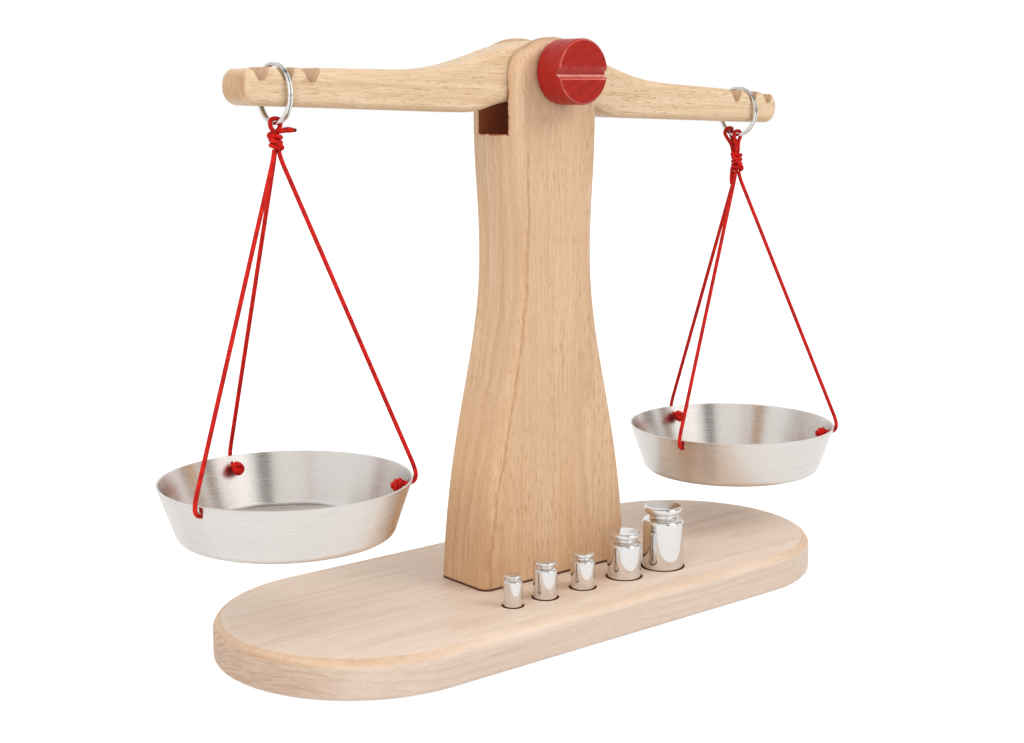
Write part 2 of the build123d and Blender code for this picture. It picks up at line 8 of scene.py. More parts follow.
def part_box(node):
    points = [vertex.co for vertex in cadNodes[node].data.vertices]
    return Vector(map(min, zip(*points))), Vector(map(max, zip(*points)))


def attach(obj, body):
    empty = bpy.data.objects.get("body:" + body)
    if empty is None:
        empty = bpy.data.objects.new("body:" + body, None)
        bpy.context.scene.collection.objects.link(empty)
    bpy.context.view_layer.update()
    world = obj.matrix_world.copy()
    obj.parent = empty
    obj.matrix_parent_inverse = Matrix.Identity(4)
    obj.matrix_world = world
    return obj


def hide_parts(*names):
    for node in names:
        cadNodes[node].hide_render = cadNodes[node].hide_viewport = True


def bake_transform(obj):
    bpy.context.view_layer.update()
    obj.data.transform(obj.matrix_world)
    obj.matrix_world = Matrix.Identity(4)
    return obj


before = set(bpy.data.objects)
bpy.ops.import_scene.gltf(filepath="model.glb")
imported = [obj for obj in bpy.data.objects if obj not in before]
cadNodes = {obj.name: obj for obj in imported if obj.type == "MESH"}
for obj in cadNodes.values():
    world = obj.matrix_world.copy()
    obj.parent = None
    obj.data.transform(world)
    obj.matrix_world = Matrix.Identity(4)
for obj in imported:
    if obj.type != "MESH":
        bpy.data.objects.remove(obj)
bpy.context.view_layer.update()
mm = 0.001


# camera, as in the photograph
view = {
    "place": (-0.43474, -0.50956, 0.21973),
    "yaw": 39.64,  # from +Y towards +X
    "pitch": -9.99,
    "roll": -0.22,
    "lens": 55.99,
}


def placeCamera():
    yaw, pitch, roll = (math.radians(view[key]) for key in ("yaw", "pitch", "roll"))
    forward = Vector((math.sin(yaw) * math.cos(pitch), math.cos(yaw) * math.cos(pitch), math.sin(pitch)))
    right = Vector((math.cos(yaw), -math.sin(yaw), 0))
    turn = Matrix((right, right.cross(forward), -forward)).transposed() @ Matrix.Rotation(roll, 3, "Z")
    camera = bpy.data.objects.new("camera", bpy.data.cameras.new("camera"))
    camera.data.lens = view["lens"]
    camera.location = view["place"]
    camera.rotation_euler = turn.to_euler()
    bpy.context.scene.collection.objects.link(camera)
    bpy.context.scene.camera = camera


placeCamera()
print("camera placed")


def addPiece(name, mesh):  # a finished bmesh as an object
    data = bpy.data.meshes.new(name)
    mesh.to_mesh(data)
    mesh.free()
    piece = bpy.data.objects.new(name, data)
    bpy.context.scene.collection.objects.link(piece)
    return piece


# cords: one red braided cord on each side, places in mm from the ring's lowest wire
# (hanger, tails) or from the middle of the pan's rim (strings), whole lengths in metres
cordSize = 1.7
sides = {
    "left": {
        "loopPlace": (-124.739, 0, 208.318),
        "rimPlace": (-124.739, 0, 74.668),
        "knotTop": 3.5,
        "knotEnd": 9.45,
        "hangerLength": 0.055,
        "stringTop": 124.20,
        "stringAngles": (85, 198.5, 330),
        "stringLength": 0.146,
        "tail": ((1.2, 0.2, -3.1), (2.4, -0.1, -2.8), (4.2, -0.2, -2.35), (6.2, -0.1, -2.4),
                 (7.6, 0.1, -2.55), (8.8, 0.2, -2.6)),
        "tailThickness": (0.8, 1.0, 1.3, 1.25, 0.95, 0.75),
    },
    "right": {
        "loopPlace": (124.094, 0, 199.194),
        "rimPlace": (124.094, 0, 62.444),
        "knotTop": 7.9,
        "knotEnd": 16.7,
        "hangerLength": 0.08,
        "stringTop": 120.05,
        "stringAngles": (80, 194.5, 316),
        "stringLength": 0.142,
        "tail": ((-1.55, 1.45, -14.9), (-1.6, 1.5, -16.6), (-1.75, 1.6, -19.0), (-1.7, 1.6, -21.2),
                 (-1.6, 1.5, -22.7)),
        "tailThickness": (1.0, 1.0, 1.0, 1.05, 0.9),
    },
}
# the hanger's two legs: half their spacing, and where they open into the eye
hangerShape = {"half": 0.87, "eyeFoot": -2.6}
knotWraps = {"radius": 1.95, "pitch": 1.9, "startAngle": 45, "stepsPerTurn": 12}
stopperWraps = {"radius": 1.72, "pitch": 1.6, "startAngle": 20, "turns": 2.0, "stepsPerTurn": 12,
                "start": (45.0, -3.9), "droop": 10}
# the loop round the ring's wire: across it and towards the ring's middle
ringLoop = ((-2.12, -1.2), (-2.12, 0.8), (-1.38, 1.8), (1.38, 1.8), (2.12, 0.8), (2.12, -1.2))
# a strand drawn slantwise over the knot's front: angle, radius, share of the knot's height
slant = ((120, 1.7, 0.02), (150, 2.5, 0.08), (185, 2.85, 0.22), (220, 2.9, 0.42), (255, 2.9, 0.62),
         (290, 2.8, 0.8), (320, 2.4, 0.92), (345, 1.7, 0.95))
# the right cord's second loop bends below its eye, which stays on the ring
secondLoop = {"ringAngle": 32, "wireRadius": 10.75, "left": (-1.25, 1.9), "right": (0.75, 2.35),
              "foot": -7.0, "rise": 2.2, "bendFrom": -0.5, "bendTo": -6.0}
# a string leaves the knot, turns in at its hole in the pan's wall and ends in a stopper:
# places out from the axis and up from the rim
stringShape = {"topReach": 1.06, "topStraight": 2.0, "straightEnds": 6 * cordSize, "hole": (50.246, 0.172),
               "inside": ((49.046, -3.75), (43.6, -4.1), (40.0, -4.8))}


def wind(wraps, startHeight, turns):  # control points of a coil that goes down about Z
    count = round(turns * wraps["stepsPerTurn"])
    points = []
    for step in range(count + 1):
        angle = math.radians(wraps["startAngle"] + 360 * turns * step / count)
        points.append((wraps["radius"] * math.cos(angle), wraps["radius"] * math.sin(angle),
                       startHeight - wraps["pitch"] * turns * step / count))
    return points


def cordPiece(name, points, place, thickness=None):
    curve = bpy.data.curves.new(name, "CURVE")
    curve.dimensions = "3D"
    spline = curve.splines.new("NURBS")
    spline.points.add(len(points) - 1)
    for point, where in zip(spline.points, points):
        point.co = (*((place @ Vector(where)) * mm), 1)
    for point, share in zip(spline.points, thickness or [1] * len(points)):
        point.radius = share * mm  # the bevel below is in mm, so that the piece's box stays right
    spline.order_u = 3
    spline.use_endpoint_u = True
    spline.resolution_u = 8
    curve.bevel_depth = cordSize / 2
    curve.bevel_resolution = 5
    curve.use_fill_caps = True
    piece = bpy.data.objects.new(name, curve)
    bpy.context.scene.collection.objects.link(piece)
    return piece


def asMesh(piece):  # the tube as a closed mesh
    bpy.context.view_layer.update()
    data = bpy.data.meshes.new_from_object(piece.evaluated_get(bpy.context.evaluated_depsgraph_get()))
    mesh = bmesh.new()
    mesh.from_mesh(data)
    bmesh.ops.remove_doubles(mesh, verts=mesh.verts, dist=0.001 * mm)
    bmesh.ops.recalc_face_normals(mesh, faces=mesh.faces)
    mesh.to_mesh(data)
    mesh.free()
    name = piece.name
    bpy.data.objects.remove(piece)
    solid = bpy.data.objects.new(name, data)
    bpy.context.scene.collection.objects.link(solid)
    return solid


def hangerPoints(side):
    top, end = side["knotTop"], side["knotEnd"]
    half, foot = hangerShape["half"], hangerShape["eyeFoot"]
    loop = [(across, 0, up) for across, up in ringLoop]
    turns = (end - top - cordSize / 2) / knotWraps["pitch"]
    return [(0, 0, -end), (0, 0, -top - 1.2), (-half, 0, -top + 0.5), (-half, 0, foot)] + loop + \
        [(half, 0, foot), (half, 0, -top + 0.9), (1.45, 0.75, -top + 0.2)] + wind(knotWraps, -top, turns)


def slantPoints(side):
    top, height = side["knotTop"], side["knotEnd"] - side["knotTop"]
    points = []
    for degrees, radius, share in slant:
        angle = math.radians(degrees)
        points.append((radius * math.cos(angle), radius * math.sin(angle), -top - share * height))
    return points


def secondLoopPoints():
    turn = math.radians(secondLoop["ringAngle"])
    wire = secondLoop["wireRadius"]
    middle = Vector((0, wire * math.sin(turn), wire * (1 - math.cos(turn))))
    pull = Vector((0, -math.sin(turn), math.cos(turn)))
    loop = [middle + Vector((across, 0, 0)) + pull * up for across, up in ringLoop]
    foot, rise = secondLoop["foot"], secondLoop["rise"]

    def leg(x, y):  # out of the knot and up
        return [(x / 2, y / 2, foot - rise), (x, y, foot), (x, y, foot + rise)]

    return leg(*secondLoop["left"]) + loop + leg(*secondLoop["right"])[::-1]


def inPlane(out, up):
    return Vector((out, 0, up))


def stringPoints(side):  # in the plane of the string's hole, from the knot to the stopper
    top = inPlane(stringShape["topReach"], side["stringTop"])
    start = top - inPlane(0, stringShape["topStraight"])
    hole = inPlane(*stringShape["hole"])
    reach = (start - hole).normalized() * stringShape["straightEnds"]
    inside = [inPlane(*place) for place in stringShape["inside"]]
    return [top, start, start - reach, hole + reach, hole] + inside


def stopperPoints():
    coil = wind(stopperWraps, -cordSize / 2, stopperWraps["turns"])
    end = coil[-1][2]
    return [(0.2, 0.1, 0.6)] + coil + [(0.3, -1.2, end - 0.2), (-0.9, -1.5, end + 1.3)]


def stopperAim():
    droop = math.radians(stopperWraps["droop"])
    inward = Vector((-math.cos(droop), 0, -math.sin(droop)))
    across = Vector((0, 1, 0))
    turn = Matrix((across, (-inward).cross(across), -inward)).transposed().to_4x4()
    x, z = stopperWraps["start"]
    return Matrix.Translation((x, 0, z)) @ turn


def makeCords():
    made = {}
    for sideName, side in sides.items():
        body = f"pan_set_{sideName}"
        hang = Matrix.Translation(side["loopPlace"])
        strand = cordPiece(f"knot_strand_{sideName}", slantPoints(side), hang)
        tail = cordPiece(f"cord_tail_{sideName}", side["tail"], hang, side["tailThickness"])
        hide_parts(f"tail_{sideName}")
        parts = [strand, tail]
        if sideName == "right":
            parts.append(asMesh(cordPiece("second_loop_cord", secondLoopPoints(), hang)))
            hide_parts("second_loop_right")
        hanger = cordPiece(f"hanger_cord_{sideName}", hangerPoints(side), hang)
        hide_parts(f"hanger_{sideName}")
        for number, degrees in enumerate(side["stringAngles"], start=1):
            turn = Matrix.Translation(side["rimPlace"]) @ Matrix.Rotation(math.radians(degrees), 4, "Z")
            line = cordPiece(f"string_cord_{sideName}_{number}", stringPoints(side), turn)
            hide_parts(f"string_{sideName}_{number}")
            stopper = cordPiece(f"stopper_knot_{sideName}_{number}", stopperPoints(), turn @ stopperAim())
            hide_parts(f"stopper_knots_{sideName}")
            parts += [line, stopper]
        for piece in [hanger] + parts:
            made[piece.name] = (piece, body)
    return made


cords = makeCords()
for piece, body in cords.values():
    if piece.name == "second_loop_cord":  # its eye stays on the ring and its feet in the knot
        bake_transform(piece)
    else:
        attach(piece, body)
print("cords laid:", len(cords))


# shader helpers
def put(tree, kind, inputs=None, **settings):  # a node, its settings, and its inputs as values or links
    node = tree.nodes.new("ShaderNode" + kind)
    for key, value in settings.items():
        setattr(node, key, value)
    for key, value in (inputs or {}).items():
        if isinstance(value, bpy.types.NodeSocket):
            tree.links.new(value, node.inputs[key])
        else:
            node.inputs[key].default_value = value
    return node


def sums(tree, operation, a, b=0.0, clamp=False):
    return put(tree, "Math", {0: a, 1: b}, operation=operation, use_clamp=clamp).outputs[0]


def plus(tree, a, b, clamp=False):
    return sums(tree, "ADD", a, b, clamp)


def minus(tree, a, b):
    return sums(tree, "SUBTRACT", a, b)


def times(tree, *values):
    product = values[0]
    for value in values[1:]:
        product = sums(tree, "MULTIPLY", product, value)
    return product


def unsigned(tree, value):
    return sums(tree, "ABSOLUTE", value)


def fromAxis(tree, a, b):  # distance from an axis, out of the places along the two others
    return sums(tree, "SQRT", plus(tree, times(tree, a, a), times(tree, b, b)))


def vectors(tree, operation, a, b):
    return put(tree, "VectorMath", {0: a, 1: b}, operation=operation).outputs[0]


def scaled(tree, vector, factor):
    return put(tree, "VectorMath", {0: vector, "Scale": factor}, operation="SCALE").outputs[0]


def axes(tree, vector):  # read as ["X"], ["Y"] and ["Z"]
    return put(tree, "SeparateXYZ", {0: vector}).outputs


def noise(tree, vector, scale, detail=2.0, rough=0.5, output="Fac"):
    return put(tree, "TexNoise", {"Vector": vector, "Scale": scale, "Detail": detail,
                                  "Roughness": rough}).outputs[output]


def ramp(tree, value, low, high, toLow=0.0, toHigh=1.0):  # smooth step from one value to another
    return put(tree, "MapRange", {"Value": value, "From Min": low, "From Max": high, "To Min": toLow,
                                  "To Max": toHigh}, interpolation_type="SMOOTHSTEP").outputs["Result"]


def blendColour(tree, share, a, b, mode="MIX"):
    return put(tree, "Mix", {0: share, 6: a, 7: b}, data_type="RGBA", blend_type=mode).outputs[2]


def layer(tree, under, share, amount, over):  # a colour laid over another, more where the share is high
    return blendColour(tree, times(tree, share, amount), under, over)


def srgb(red, green, blue):  # a colour as seen, 0 to 255, to the linear one
    def linear(value):
        value /= 255
        return value / 12.92 if value <= 0.04045 else ((value + 0.055) / 1.055) ** 2.4
    return (linear(red), linear(green), linear(blue), 1)


def newGroup(name, inputs, outputs):
    group = bpy.data.node_groups.new(name, "ShaderNodeTree")
    for socketName, kind, value in inputs:
        socket = group.interface.new_socket(socketName, in_out="INPUT", socket_type="NodeSocket" + kind)
        if value is not None:
            socket.default_value = value
    for socketName in outputs:
        group.interface.new_socket(socketName, in_out="OUTPUT", socket_type="NodeSocketFloat")
    return group, group.nodes.new("NodeGroupInput"), group.nodes.new("NodeGroupOutput")


def newMaterial(name, values):
    material = bpy.data.materials.new(name)
    material.use_nodes = True
    tree = material.node_tree
    shader = tree.nodes["Principled BSDF"]
    for key, value in values.items():
        shader.inputs[key].default_value = value
    return material, tree, shader


def placedInMm(tree, coords, location, turn=(0, 0, 0)):  # object coordinates in mm, turned and moved
    return put(tree, "Mapping", {"Vector": coords.outputs["Object"], "Location": location,
                                 "Rotation": [math.radians(angle) for angle in turn],
                                 "Scale": (1000, 1000, 1000)}).outputs[0]


def axesInMm(tree, coords):
    return axes(tree, scaled(tree, coords.outputs["Object"], 1000.0))


def addBump(tree, shader, height, strength, depth):
    bump = put(tree, "Bump", {"Strength": strength, "Distance": depth, "Height": height})
    tree.links.new(bump.outputs[0], shader.inputs["Normal"])


# beech: how each part of its grain varies along and across the fibres, per mm, with
# the noise's detail and roughness
grainNoise = {
    "warp": (0.011, 0.03, 3.0, 0.5),
    "ringWander": (0.02, 0.12, 2.0, 0.5),
    "ringFade": (0.012, 0.06, 2.0, 0.5),
    "fine": (0.035, 2.4, 3.0, 0.6),
    "broad": (0.010, 0.42, 3.0, 0.55),
    "flecks": (0.18, 1.9, 1.5, 0.45),
    "crowd": (0.02, 0.07, 2.0, 0.5),
    "clouds": (0.007, 0.022, 2.0, 0.5),
    "pores": (0.28, 3.0, 1.0, 0.5),
}


def grainGroup():
    # seen in 3-D: growth rings about a pith line along X, fibres and flecks along X,
    # so that each face shows its own cut
    group, given, result = newGroup(
        "beechGrain",
        [("Vector", "Vector", None), ("Ring Spacing", "Float", 3.0), ("Warp", "Float", 6.0),
         ("Fleck Level", "Float", 0.58)],
        ["Rings", "Streaks", "Rays", "Clouds", "Pores", "Ends"])
    vector = given.outputs["Vector"]

    def grain(part, output="Fac"):
        along, across, detail, rough = grainNoise[part]
        drawnOut = vectors(group, "MULTIPLY", vector, (along, across, across))
        return noise(group, drawnOut, 1.0, detail, rough, output)

    warp = vectors(group, "SUBTRACT", grain("warp", "Color"), (0.5, 0.5, 0.5))
    bent = axes(group, vectors(group, "ADD", vector, scaled(group, warp, given.outputs["Warp"])))
    away = fromAxis(group, bent["Y"], bent["Z"])

    # growth rings, some stronger than others, that come and go along the grain
    ring = sums(group, "DIVIDE", away, given.outputs["Ring Spacing"])
    ring = plus(group, ring, times(group, grain("ringWander"), 1.1))
    share = sums(group, "FRACT", ring)
    number = sums(group, "FLOOR", ring)
    band = put(group, "TexWhiteNoise", {"W": number}, noise_dimensions="1D").outputs["Value"]
    late = times(group, ramp(group, share, 0.35, 0.93), ramp(group, share, 1.0, 0.94))
    fade = ramp(group, grain("ringFade"), 0.36, 0.62)
    rings = times(group, late, fade, plus(group, 0.35, times(group, band, 0.65)))

    streaks = plus(group, times(group, grain("fine"), 0.55), times(group, grain("broad"), 0.45))

    # short brown flecks along the grain, thick in some places and thin in others
    level = given.outputs["Fleck Level"]
    flecks = ramp(group, grain("flecks"), level, plus(group, level, 0.13))
    crowd = ramp(group, grain("crowd"), 0.34, 0.6, 0.35, 1.0)

    # fine growth lines, drawn on cuts across the grain
    cut = put(group, "CombineXYZ", {0: times(group, away, 1.15), 1: times(group, bent["Y"], 0.12),
                                    2: times(group, bent["Z"], 0.12)}).outputs[0]

    results = {
        "Rings": rings,
        "Streaks": ramp(group, streaks, 0.32, 0.68),
        "Rays": times(group, flecks, crowd),
        "Clouds": ramp(group, grain("clouds"), 0.3, 0.7),
        "Pores": ramp(group, grain("pores"), 0.54, 0.70),
        "Ends": ramp(group, noise(group, cut, 1.0, 1.0), 0.46, 0.60),
    }
    for name, value in results.items():
        group.links.new(value, result.inputs[name])
    return group


beechGrain = grainGroup()


def woodMaterial(name, look):
    material, tree, shader = newMaterial(name, {"Roughness": look["rough"], "Specular IOR Level": 0.3,
                                                "Coat Weight": look["coat"], "Coat Roughness": 0.28})
    coords = put(tree, "TexCoord")
    # the vector runs from the pith, with the grain turned to X
    grain = put(tree, "Group", {"Vector": placedInMm(tree, coords, look["pith"], look["turn"]),
                                "Ring Spacing": look["ringSpacing"], "Warp": look["warp"],
                                "Fleck Level": look["fleckLevel"]}, node_tree=beechGrain).outputs
    facing = axes(tree, coords.outputs["Normal"])
    ends = ramp(tree, unsigned(tree, facing[look["grainAxis"]]), 0.55, 0.98)
    flat = ramp(tree, unsigned(tree, facing[look["rayAxis"]]), 0.3, 0.9, 0.15, 1.0)

    colour = layer(tree, look["pale"], grain["Streaks"], look["streaks"], look["deep"])
    colour = layer(tree, colour, grain["Clouds"], look["clouds"], look["cloud"])
    ringAmount = plus(tree, look["rings"], times(tree, ends, 0.35))
    colour = layer(tree, colour, grain["Rings"], ringAmount, look["ring"])
    colour = layer(tree, colour, grain["Pores"], look["pores"], look["ray"])
    dashes = times(tree, grain["Rays"], flat)
    colour = layer(tree, colour, dashes, look["rays"], look["ray"])
    colour = blendColour(tree, times(tree, ends, look["ends"]), colour, look["end"], "MULTIPLY")
    colour = layer(tree, colour, times(tree, ends, grain["Ends"]), look["endLines"], look["ray"])

    roughness = ramp(tree, grain["Streaks"], 0.0, 1.0, look["rough"] - 0.05, look["rough"] + 0.07)
    tree.links.new(roughness, shader.inputs["Roughness"])
    height = minus(tree, times(tree, grain["Streaks"], 0.5), plus(tree, dashes, grain["Pores"]))
    addBump(tree, shader, height, look["bump"], 0.00012)
    return material, tree, shader, coords, colour


boardLook = {
    "grainAxis": "X", "rayAxis": "Z", "turn": (0, 0, 0), "pith": (40, 25, 96),
    "ringSpacing": 3.1, "warp": 7, "fleckLevel": 0.60,
    "pale": srgb(244, 226, 209), "deep": srgb(230, 205, 181), "cloud": srgb(233, 210, 194),
    "ring": srgb(214, 184, 156), "ray": srgb(190, 150, 116), "end": srgb(226, 210, 196),
    "streaks": 0.9, "clouds": 0.5, "rings": 0.5, "rays": 0.3, "pores": 0.14, "ends": 0.6,
    "endLines": 0.38, "rough": 0.48, "coat": 0.06, "bump": 0.35,
    # edge and side are painted shade, laid over the rounded top edge and over the upright sides
    "burnt": srgb(142, 88, 58), "edge": srgb(238, 222, 204), "side": srgb(240, 239, 239),
    "middleReach": 60.0, "endReach": 125.0,  # along the board, where the painted shade on its rounded edge is light and where it is strong
}
postLook = {
    "grainAxis": "Z", "rayAxis": "Y", "turn": (0, 90, 0), "pith": (0, -94, -9),
    "ringSpacing": 6.5, "warp": 7, "fleckLevel": 0.54,
    "pale": srgb(233, 204, 173), "deep": srgb(209, 171, 132), "cloud": srgb(214, 176, 139),
    "ring": srgb(190, 148, 108), "ray": srgb(168, 118, 76), "end": srgb(225, 200, 180),
    "streaks": 0.95, "clouds": 0.55, "rings": 0.35, "rays": 0.44, "pores": 0.2, "ends": 0.5,
    "endLines": 0.38, "rough": 0.5, "coat": 0.06, "bump": 0.4,
    # painted shade: footShade towards the foot, burnt in the slot (with browning from the saw), line where
    # the foot meets the board
    "footShade": srgb(254, 238, 220), "burnt": srgb(166, 94, 60), "line": srgb(92, 52, 32),
    "heart": srgb(186, 138, 94),
    "slotHalf": 9.5, "slotFloor": 202.4, "slotTop": 222, "foot": 15.5,
    "waist": 19.8, "footSpread": 20.6, "waistHeight": 153.5,
    "frontFace": -12.0, "heartInset": 3.2, "heartSway": 5.0,
    "flankLines": ((-2.5, 9.0), (6.0, -7.0)),  # place across the flank and how far each wanders
}
beamLook = {
    "grainAxis": "X", "rayAxis": "Y", "turn": (0, -2.1, 0), "pith": (10, -58, -215),
    "ringSpacing": 3.4, "warp": 6, "fleckLevel": 0.57,
    "pale": srgb(238, 214, 182), "deep": srgb(214, 178, 136), "cloud": srgb(226, 195, 158),
    "ring": srgb(204, 164, 120), "ray": srgb(172, 120, 76), "end": srgb(222, 203, 190),
    "streaks": 0.95, "clouds": 0.5, "rings": 0.4, "rays": 0.62, "pores": 0.24, "ends": 0.75,
    "endLines": 0.38, "rough": 0.48, "coat": 0.06, "bump": 0.4,
}


def boardMaterial():
    look = boardLook
    material, tree, shader, coords, colour = woodMaterial("beechBoard", look)
    at = axesInMm(tree, coords)
    up = axes(tree, coords.outputs["Normal"])["Z"]
    # painted shade on the rounded top edge, stronger towards the ends, and on the upright sides
    rounded = times(tree, ramp(tree, up, 0.2, 0.6), ramp(tree, up, 0.995, 0.93))
    reach = ramp(tree, unsigned(tree, at["X"]), look["middleReach"], look["endReach"], 0.3, 0.9)
    colour = blendColour(tree, times(tree, rounded, reach), colour, look["edge"], "MULTIPLY")
    upright = ramp(tree, unsigned(tree, up), 0.6, 0.2)
    colour = blendColour(tree, upright, colour, look["side"], "MULTIPLY")
    for size in weights.values():  # the recesses are painted dark brown inside
        away = fromAxis(tree, minus(tree, at["X"], size["x"]), minus(tree, at["Y"], weightShape["rowY"]))
        recess = size["radius"] + weightShape["play"]
        colour = blendColour(tree, ramp(tree, away, recess + 0.35, recess + 0.1), colour, look["burnt"])
    tree.links.new(colour, shader.inputs["Base Color"])
    return material


def postMaterial():
    look = postLook
    material, tree, shader, coords, colour = woodMaterial("beechPost", look)
    at = axesInMm(tree, coords)
    x, y, z = (at[axis] for axis in "XYZ")
    facing = axes(tree, coords.outputs["Normal"])
    flank = ramp(tree, unsigned(tree, facing["X"]), 0.3, 0.9)
    # painted shade: darker and warmer towards the foot, more so on the flanks
    low = ramp(tree, z, 150.0, 30.0, 0.0, 0.35)
    low = plus(tree, low, times(tree, low, flank, 0.9), clamp=True)
    colour = blendColour(tree, low, colour, look["footShade"], "MULTIPLY")

    # the heart line that runs down beside the front's left edge, and two lines on the flank
    onlyHeight = put(tree, "CombineXYZ", {2: z}).outputs[0]
    sway = minus(tree, noise(tree, onlyHeight, 0.05, 4.0, 0.6), 0.5)
    broken = ramp(tree, noise(tree, onlyHeight, 0.13), 0.32, 0.55, 0.25, 1.0)
    edge = times(tree, ramp(tree, z, look["waistHeight"], look["foot"]), look["footSpread"])
    inset = plus(tree, plus(tree, x, look["waist"]), edge)
    wander = plus(tree, look["heartInset"], times(tree, sway, look["heartSway"]))
    heart = ramp(tree, unsigned(tree, minus(tree, inset, wander)), 1.1, 0.1)
    heart = times(tree, heart, ramp(tree, y, look["frontFace"] + 3, look["frontFace"]), broken)
    colour = layer(tree, colour, heart, ramp(tree, z, 206.0, 190.0, 0.0, 0.75), look["heart"])
    for place, swing in look["flankLines"]:
        line = unsigned(tree, minus(tree, y, plus(tree, place, times(tree, sway, swing))))
        line = times(tree, ramp(tree, line, 0.7, 0.05), flank, broken)
        colour = layer(tree, colour, line, 0.4, look["heart"])

    # the slot is painted dark inside, up to just above the beam: browning from the saw at its ragged mouth,
    # and painted shade
    ragged = ramp(tree, noise(tree, coords.outputs["Object"], 420.0, 3.0), 0.35, 0.75)
    across = minus(tree, unsigned(tree, y), plus(tree, look["slotHalf"], ragged))
    above = minus(tree, z, minus(tree, look["slotFloor"], ragged))
    inside = times(tree, ramp(tree, across, 0.15, 0.0), ramp(tree, above, -0.15, 0.0),
                   ramp(tree, z, look["slotTop"] + 3, look["slotTop"]))
    colour = blendColour(tree, inside, colour, look["burnt"])
    # a painted shade line where the post's foot meets the board
    footShadeLine = ramp(tree, z, look["foot"] + 1.3, look["foot"] + 0.7)
    colour = blendColour(tree, footShadeLine, colour, look["line"])
    tree.links.new(colour, shader.inputs["Base Color"])
    return material


def beamMaterial():
    material, tree, shader, coords, colour = woodMaterial("beechBeam", beamLook)
    tree.links.new(colour, shader.inputs["Base Color"])
    return material


print("wood made")


# metals
def brushGroup():
    # turned lines: noise over the distance from the axis and the height only
    group, given, result = newGroup("turnedLines", [("Vector", "Vector", None), ("Fineness", "Float", 9.0)],
                                    ["Lines", "Wear"])
    at = axes(group, given.outputs["Vector"])
    fineness = given.outputs["Fineness"]
    angle = sums(group, "ARCTAN2", at["Y"], at["X"])
    turn = put(group, "CombineXYZ", {0: times(group, fromAxis(group, at["X"], at["Y"]), fineness),
                                     1: times(group, sums(group, "COSINE", angle), 1.6),
                                     2: times(group, at["Z"], fineness)}).outputs[0]
    group.links.new(noise(group, turn, 1.0, 4.0, 0.65), result.inputs["Lines"])
    group.links.new(noise(group, given.outputs["Vector"], 0.08, 3.0), result.inputs["Wear"])
    return group


turnedLines = brushGroup()


def turnedMetal(name, look, middle):
    material, tree, shader = newMaterial(name, {"Metallic": 1.0, "Anisotropic": look["along"],
                                                "Anisotropic Rotation": 0.25})
    coords = put(tree, "TexCoord")
    placed = placedInMm(tree, coords, [-1000 * place for place in middle])
    brush = put(tree, "Group", {"Vector": placed, "Fineness": look["fineness"]},
                node_tree=turnedLines).outputs
    colour = blendColour(tree, ramp(tree, brush["Lines"], 0.35, 0.65), look["dark"], look["light"])
    if "split" in look:  # the ring's two turns meet round its middle, where painted shade draws a dark line in their seam
        gap = ramp(tree, unsigned(tree, axes(tree, placed)["X"]), look["split"] + 0.1, look["split"])
        colour = blendColour(tree, gap, colour, look["gap"])
    tree.links.new(colour, shader.inputs["Base Color"])
    smoothest, roughest = look["rough"] - look["spread"], look["rough"] + look["spread"]
    wear = times(tree, minus(tree, brush["Wear"], 0.5), look["spread"])
    rough = plus(tree, ramp(tree, brush["Lines"], 0.3, 0.7, smoothest, roughest), wear)
    tree.links.new(rough, shader.inputs["Roughness"])
    addBump(tree, shader, brush["Lines"], look["bump"], 0.00005)
    if look["along"]:
        turning = put(tree, "Tangent", direction_type="RADIAL", axis="Z")
        tree.links.new(turning.outputs[0], shader.inputs["Tangent"])
    return material


panLook = {"light": (0.79, 0.75, 0.715, 1), "dark": (0.67, 0.635, 0.605, 1),
           "rough": 0.27, "spread": 0.05, "along": 0.8, "fineness": 9.0, "bump": 0.2}
chromeLook = {"light": (0.80, 0.785, 0.77, 1), "dark": (0.72, 0.70, 0.685, 1),
              "rough": 0.05, "spread": 0.02, "along": 0.0, "fineness": 12.0, "bump": 0.02}
nickelLook = {"light": (0.84, 0.83, 0.81, 1), "dark": (0.70, 0.69, 0.67, 1),
              "rough": 0.12, "spread": 0.04, "along": 0.0, "fineness": 10.0, "bump": 0.05,
              "split": 0.16, "gap": (0.16, 0.155, 0.15, 1)}
boltLook = {"light": (0.62, 0.62, 0.63, 1), "dark": (0.50, 0.50, 0.51, 1),
            "rough": 0.30, "spread": 0.08, "along": 0.0, "fineness": 6.0, "bump": 0.1}
brassLook = {"light": (0.80, 0.60, 0.28, 1), "dark": (0.68, 0.48, 0.20, 1),
             "rough": 0.28, "spread": 0.06, "along": 0.0, "fineness": 6.0, "bump": 0.1}


# red stained wood of the knob, sizes in mm; edge and the groove colours are painted highlights
knobLook = {
    "pale": srgb(180, 40, 32), "deep": srgb(148, 25, 20), "dark": srgb(100, 16, 14), "rough": 0.36,
    "pith": (0, -38, -238), "turn": (0, 30, 0),
    "front": -30.85, "axis": 227.2, "radius": 13.1, "edge": srgb(208, 104, 92),
    "grooveHeight": 226.6, "grooveHalf": 2.7, "grooveDepth": 2.5,
    "grooveLit": srgb(236, 178, 168), "grooveMid": srgb(204, 92, 82), "grooveDim": srgb(190, 70, 62),
}


